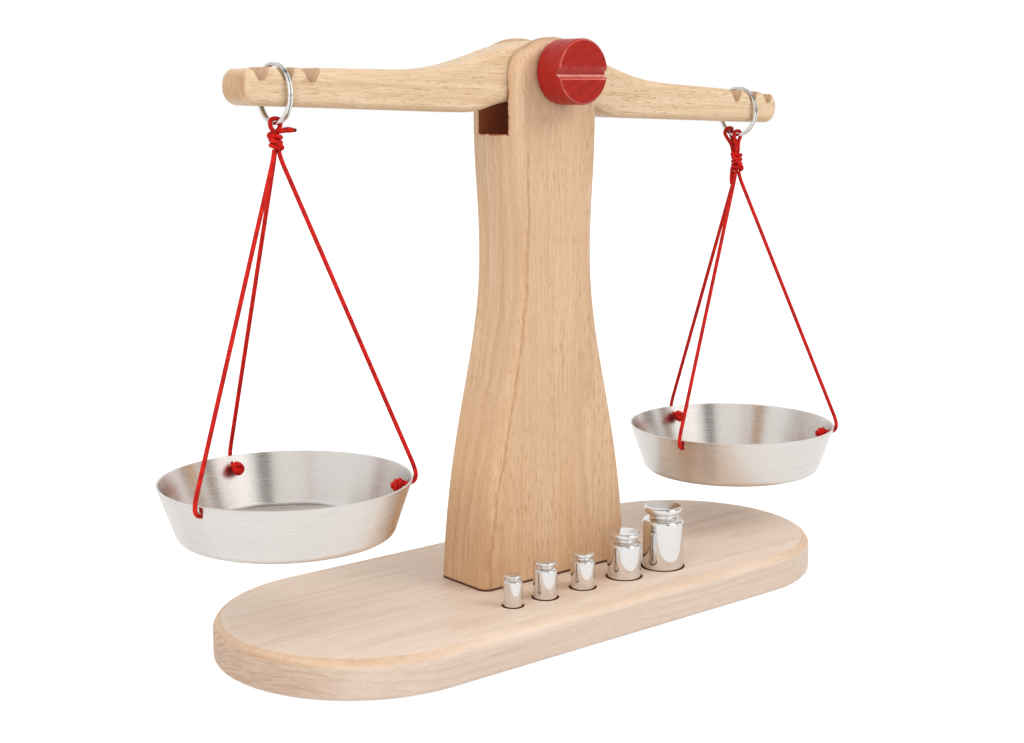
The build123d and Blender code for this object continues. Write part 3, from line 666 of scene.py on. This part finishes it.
def knobMaterial():
    look = knobLook
    material, tree, shader = newMaterial("redStain", {"Coat Roughness": 0.15, "Specular IOR Level": 0.15})
    coords = put(tree, "TexCoord")
    grain = put(tree, "Group", {"Vector": placedInMm(tree, coords, look["pith"], look["turn"]),
                                "Ring Spacing": 2.6, "Warp": 5.0, "Fleck Level": 0.6},
                node_tree=beechGrain).outputs
    colour = layer(tree, look["pale"], grain["Clouds"], 0.8, look["deep"])
    colour = layer(tree, colour, grain["Streaks"], 0.6, look["deep"])
    colour = layer(tree, colour, grain["Rings"], 0.35, look["dark"])
    colour = layer(tree, colour, grain["Rays"], 0.45, look["dark"])

    at = axesInMm(tree, coords)
    facing = axes(tree, coords.outputs["Normal"])
    highlightPatches = noise(tree, coords.outputs["Object"], 260.0, 3.0)

    def patchyHighlight(least, most):
        return ramp(tree, highlightPatches, 0.3, 0.7, least, most)

    # painted highlights in the groove, in patches: its upward side pale with two bright lines, its downward
    # side a little paler than the stain
    off = minus(tree, at["Z"], look["grooveHeight"])
    depth = look["front"] + look["grooveDepth"]
    groove = times(tree, ramp(tree, unsigned(tree, off), look["grooveHalf"], look["grooveHalf"] - 0.2),
                   ramp(tree, unsigned(tree, facing["X"]), 0.4, 0.2),
                   ramp(tree, at["Y"], depth + 0.05, depth - 0.05))
    lit = times(tree, groove, ramp(tree, facing["Z"], 0.3, 0.6))
    dim = times(tree, groove, ramp(tree, facing["Z"], -0.3, -0.6))
    colour = layer(tree, colour, lit, patchyHighlight(0.6, 1.0), look["grooveMid"])
    upperLine = times(tree, ramp(tree, off, -1.45, -1.15), ramp(tree, off, -0.5, -0.7))
    lowerLine = ramp(tree, off, -2.3, -2.5, 0.0, 0.6)
    bright = times(tree, sums(tree, "MAXIMUM", upperLine, lowerLine), patchyHighlight(0.6, 1.0))
    colour = layer(tree, colour, lit, bright, look["grooveLit"])
    colour = layer(tree, colour, dim, patchyHighlight(0.45, 0.9), look["grooveDim"])

    # and a painted highlight along the front's rim; the coat lies only on the groove and the rim
    rim = fromAxis(tree, at["X"], minus(tree, at["Z"], look["axis"]))
    edge = times(tree, ramp(tree, rim, look["radius"] - 0.9, look["radius"] - 0.5),
                 ramp(tree, at["Y"], look["front"] + 0.9, look["front"] + 0.5))
    colour = layer(tree, colour, edge, patchyHighlight(0.3, 0.8), look["edge"])
    tree.links.new(colour, shader.inputs["Base Color"])
    tree.links.new(times(tree, sums(tree, "MAXIMUM", groove, edge), 0.7), shader.inputs["Coat Weight"])
    roughness = ramp(tree, grain["Streaks"], 0, 1, look["rough"] - 0.05, look["rough"] + 0.1)
    tree.links.new(roughness, shader.inputs["Roughness"])
    addBump(tree, shader, minus(tree, times(tree, grain["Streaks"], 0.5), grain["Rays"]), 0.3, 0.0001)
    return material


# braided cord; the left knot's tail is burnt from tipStart to its end
braidLook = {"red": srgb(214, 27, 13), "deep": srgb(164, 13, 8), "tip": srgb(70, 30, 26),
             "tipStart": -117.4, "tipArea": (-110.0, -112.0), "tipHeight": (195.0, 197.0)}


def cordMaterial():
    look = braidLook
    material, tree, shader = newMaterial("redBraid", {"Roughness": 0.6, "Specular IOR Level": 0.2})
    coords = put(tree, "TexCoord")
    fuzz = noise(tree, coords.outputs["Object"], 1400.0, 3.0)
    tone = noise(tree, coords.outputs["Object"], 420.0)
    share = plus(tree, times(tree, fuzz, 0.5), times(tree, tone, 0.5))
    colour = blendColour(tree, ramp(tree, share, 0.60, 0.36), look["red"], look["deep"])
    at = axesInMm(tree, coords)
    burnt = times(tree, ramp(tree, at["X"], look["tipStart"] - 0.2, look["tipStart"] + 0.1),
                  ramp(tree, at["X"], *look["tipArea"]), ramp(tree, at["Z"], *look["tipHeight"]))
    colour = layer(tree, colour, burnt, 0.85, look["tip"])
    tree.links.new(colour, shader.inputs["Base Color"])
    addBump(tree, shader, fuzz, 0.5, 0.00012)
    return material


# turned weights, sizes in mm, each standing in its recess in the board's front row
weights = {
    "weight_5g": {"x": -41.8, "radius": 3.9, "height": 13.1},
    "weight_10g_a": {"x": -24.6, "radius": 5.0, "height": 15.5},
    "weight_10g_b": {"x": -3.9, "radius": 5.1, "height": 15.2},
    "weight_20g": {"x": 19.9, "radius": 7.2, "height": 19.6},
    "weight_50g": {"x": 43.0, "radius": 8.9, "height": 27.1},
}
# head to shoulder are shares of the weight's radius
weightShape = {"rowY": -35.3, "floor": 10.5, "depth": 5.0, "play": 0.6, "foot": 0.4, "steps": 96,
               "head": 0.34, "headRadius": 0.93, "neckHeight": 0.21, "neckRadius": 0.67, "shoulder": 0.15}


def spun(name, outline, rounds, middle, steps):
    # a half outline of (radius, height), its corners rounded, turned about Z
    mesh = bmesh.new()
    corners = [mesh.verts.new((radius, 0, height)) for radius, height in outline]
    for a, b in zip(corners, corners[1:]):
        mesh.edges.new((a, b))
    for corner, size in zip(corners, rounds):
        if size:
            bmesh.ops.bevel(mesh, geom=[corner], offset=size, offset_type="OFFSET", affect="VERTICES",
                            segments=6, profile=0.5, material=-1)
    bmesh.ops.spin(mesh, geom=mesh.verts[:] + mesh.edges[:], cent=(0, 0, 0), axis=(0, 0, 1),
                   angle=2 * math.pi, steps=steps, use_merge=True)
    bmesh.ops.remove_doubles(mesh, verts=mesh.verts, dist=0.0005)
    bmesh.ops.recalc_face_normals(mesh, faces=mesh.faces)
    bmesh.ops.scale(mesh, vec=(mm, mm, mm), verts=mesh.verts)
    bmesh.ops.translate(mesh, vec=Vector(middle) * mm, verts=mesh.verts)
    piece = addPiece(name, mesh)
    piece.data.polygons.foreach_set("use_smooth", [True] * len(piece.data.polygons))
    piece.data.set_sharp_from_angle(angle=math.radians(35))
    return piece


def makeWeight(name, size):
    shape = weightShape
    r = size["radius"]
    total = size["height"] + shape["depth"]
    head = total - shape["head"] * r
    neck = head - shape["neckHeight"] * r
    body = neck - shape["shoulder"] * r
    neckR, headR = shape["neckRadius"] * r, shape["headRadius"] * r
    foot = shape["foot"]
    outline = [(0, 0), (r - foot, 0), (r, foot), (r, body), (neckR + 0.06 * r, neck),
               (neckR, (neck + head) / 2), (neckR + 0.05 * r, head - 0.02 * r), (headR, head + 0.02 * r),
               (headR, total), (0, total)]
    rounds = [0, 0.1, 0.2, 0.1 * r, 0.08 * r, 0.06 * r, 0.05 * r, 0.13 * r, 0.13 * r, 0]
    place = (size["x"], shape["rowY"], shape["floor"])
    piece = spun(name + "_turned", outline, rounds, place, shape["steps"])
    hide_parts(name)
    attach(piece, name)
    piece.data.materials.append(turnedMetal("chrome_" + name, chromeLook, [mm * c for c in place]))


for name, size in weights.items():
    makeWeight(name, size)
print("weights turned:", len(weights))


# finishes onto the CAD pieces
def finishNode(node, material):
    for slot in cadNodes[node].material_slots:
        slot.material = material


def middleOf(node):
    low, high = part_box(node)
    return (low + high) / 2


finishNode("base_board", boardMaterial())
finishNode("post", postMaterial())
finishNode("beam", beamMaterial())
finishNode("knob", knobMaterial())
boltAxis = (0, 0, knobLook["axis"] * mm)
boltSteel = turnedMetal("boltSteel", boltLook, boltAxis)
for node in ("post_screws", "pivot_bolt", "knob_washer"):
    finishNode(node, boltSteel)
brass = turnedMetal("sleeveBrass", brassLook, boltAxis)
for node in ("beam_bush", "knob_insert"):
    finishNode(node, brass)
redBraid = cordMaterial()
for sideName in sides:
    ring, pan = f"ring_{sideName}", f"pan_{sideName}"
    finishNode(ring, turnedMetal(f"nickel_{sideName}", nickelLook, middleOf(ring)))
    finishNode(pan, turnedMetal(f"spunSteel_{sideName}", panLook, middleOf(pan)))
for piece, body in cords.values():
    piece.data.materials.append(redBraid)
print("finishes set")


# studio: white surround, a soft light high on the right and a larger one on the left
studio = {
    "ambient": 0.72,
    "floorHalf": 6.0,
    "floorDrop": 0.0003,
    "floorColour": (0.76, 0.76, 0.76, 1),
    "floorLift": 0.60,
    "floorLiftInMetal": 0.24,
    "lights": {
        "keyLight": {"place": (0.75, -1.15, 1.25), "aim": (0, 0, 0.12), "size": 0.9, "power": 10.6},
        "fillLight": {"place": (-1.5, -0.5, 0.9), "aim": (0, 0, 0.12), "size": 1.2, "power": 12.2},
    },
}


# cards, dark and bright, that only the metal and the gloss see, each facing the object
cardShape = {"elevation": 24, "height": 1.4, "aimHeight": 0.1}
cards = {
    "cardBrown": {"azimuth": 317, "distance": 1.75, "width": 0.34, "shade": (0.34, 0.26, 0.20)},
    "cardBright": {"azimuth": 289, "distance": 1.8, "width": 1.05, "shade": (1.5, 1.49, 1.48)},
    "cardDark": {"azimuth": 256, "distance": 1.75, "width": 0.40, "shade": (0.26, 0.25, 0.24)},
    "cardGrey": {"azimuth": 231, "distance": 1.8, "width": 1.2, "shade": (1.02, 1.01, 1.0)},
    "cardFar": {"azimuth": 345, "distance": 1.75, "width": 0.62, "shade": (0.34, 0.32, 0.30)},
    "cardBehind": {"azimuth": 115, "distance": 1.85, "width": 1.9, "shade": (0.76, 0.74, 0.73)},
    "cardAbove": {"azimuth": 50, "distance": 1.8, "width": 1.7, "shade": (0.2, 0.2, 0.2),
                  "elevation": 90, "height": 1.6, "inSecond": 5.0},
}


def buildCard(name, card):
    material, tree, shader = newMaterial(name, {"Base Color": (0, 0, 0, 1), "Roughness": 1.0,
                                                "Emission Color": [*card["shade"], 1],
                                                "Emission Strength": 1.0, "Specular IOR Level": 0.0})
    if "inSecond" in card:  # bright again where metal mirrors metal, so that the pans stay light
        path = put(tree, "LightPath")
        tree.links.new(ramp(tree, path.outputs["Glossy Depth"], 1.3, 1.7, 1.0, card["inSecond"]),
                       shader.inputs["Emission Strength"])
    mesh = bmesh.new()
    bmesh.ops.create_grid(mesh, x_segments=1, y_segments=1, size=0.5)
    bmesh.ops.scale(mesh, vec=(card["width"], card["height"], 1), verts=mesh.verts)

    def turnCard(degrees, axis):
        turn = Matrix.Rotation(math.radians(degrees), 3, axis)
        bmesh.ops.rotate(mesh, cent=(0, 0, 0), matrix=turn, verts=mesh.verts)

    turnCard(90, "X")
    bmesh.ops.translate(mesh, vec=(0, card["distance"], 0), verts=mesh.verts)
    turnCard(card["elevation"], "X")
    turnCard(card["azimuth"] - 90, "Z")
    bmesh.ops.translate(mesh, vec=(0, 0, card["aimHeight"]), verts=mesh.verts)
    piece = addPiece(name, mesh)
    piece.data.materials.append(material)
    piece.visible_camera = piece.visible_diffuse = piece.visible_shadow = piece.visible_transmission = False


def buildStudio():
    scene = bpy.context.scene
    world = bpy.data.worlds.new("studio")
    scene.world = world
    world.use_nodes = True
    tree = world.node_tree
    path = put(tree, "LightPath")
    seen = sums(tree, "MAXIMUM", path.outputs["Is Camera Ray"], path.outputs["Is Glossy Ray"])
    seen = sums(tree, "MAXIMUM", seen, path.outputs["Is Transmission Ray"])
    strength = put(tree, "MapRange", {"Value": seen, "To Min": studio["ambient"], "To Max": 1.0})
    background = tree.nodes["Background"]
    background.inputs["Color"].default_value = (1, 1, 1, 1)
    tree.links.new(strength.outputs["Result"], background.inputs["Strength"])

    material, tree, shader = newMaterial("paleFloor", {
        "Base Color": studio["floorColour"], "Roughness": 0.9, "Specular IOR Level": 0.1,
        "Emission Color": (1, 1, 1, 1)})
    path = put(tree, "LightPath")
    plain = sums(tree, "MAXIMUM", path.outputs["Is Camera Ray"], path.outputs["Is Transmission Ray"])
    lift = plus(tree, times(tree, plain, studio["floorLift"]),
                times(tree, path.outputs["Is Glossy Ray"], studio["floorLiftInMetal"]))
    tree.links.new(lift, shader.inputs["Emission Strength"])
    mesh = bmesh.new()
    bmesh.ops.create_grid(mesh, x_segments=4, y_segments=4, size=studio["floorHalf"])
    bmesh.ops.translate(mesh, vec=(0, 0, -studio["floorDrop"]), verts=mesh.verts)
    floor = addPiece("floor", mesh)
    floor.data.materials.append(material)

    for name, light in studio["lights"].items():
        lamp = bpy.data.lights.new(name, "AREA")
        lamp.shape = "RECTANGLE"
        lamp.size = lamp.size_y = light["size"]
        lamp.energy = light["power"]
        holder = bpy.data.objects.new(name, lamp)
        holder.location = light["place"]
        aim = Vector(light["aim"]) - Vector(light["place"])
        holder.rotation_euler = aim.to_track_quat("-Z", "Y").to_euler()
        holder.visible_glossy = False
        scene.collection.objects.link(holder)
    scene.view_settings.view_transform = "Standard"


buildStudio()
for name, card in cards.items():
    buildCard(name, {**cardShape, **card})
print("studio lit")
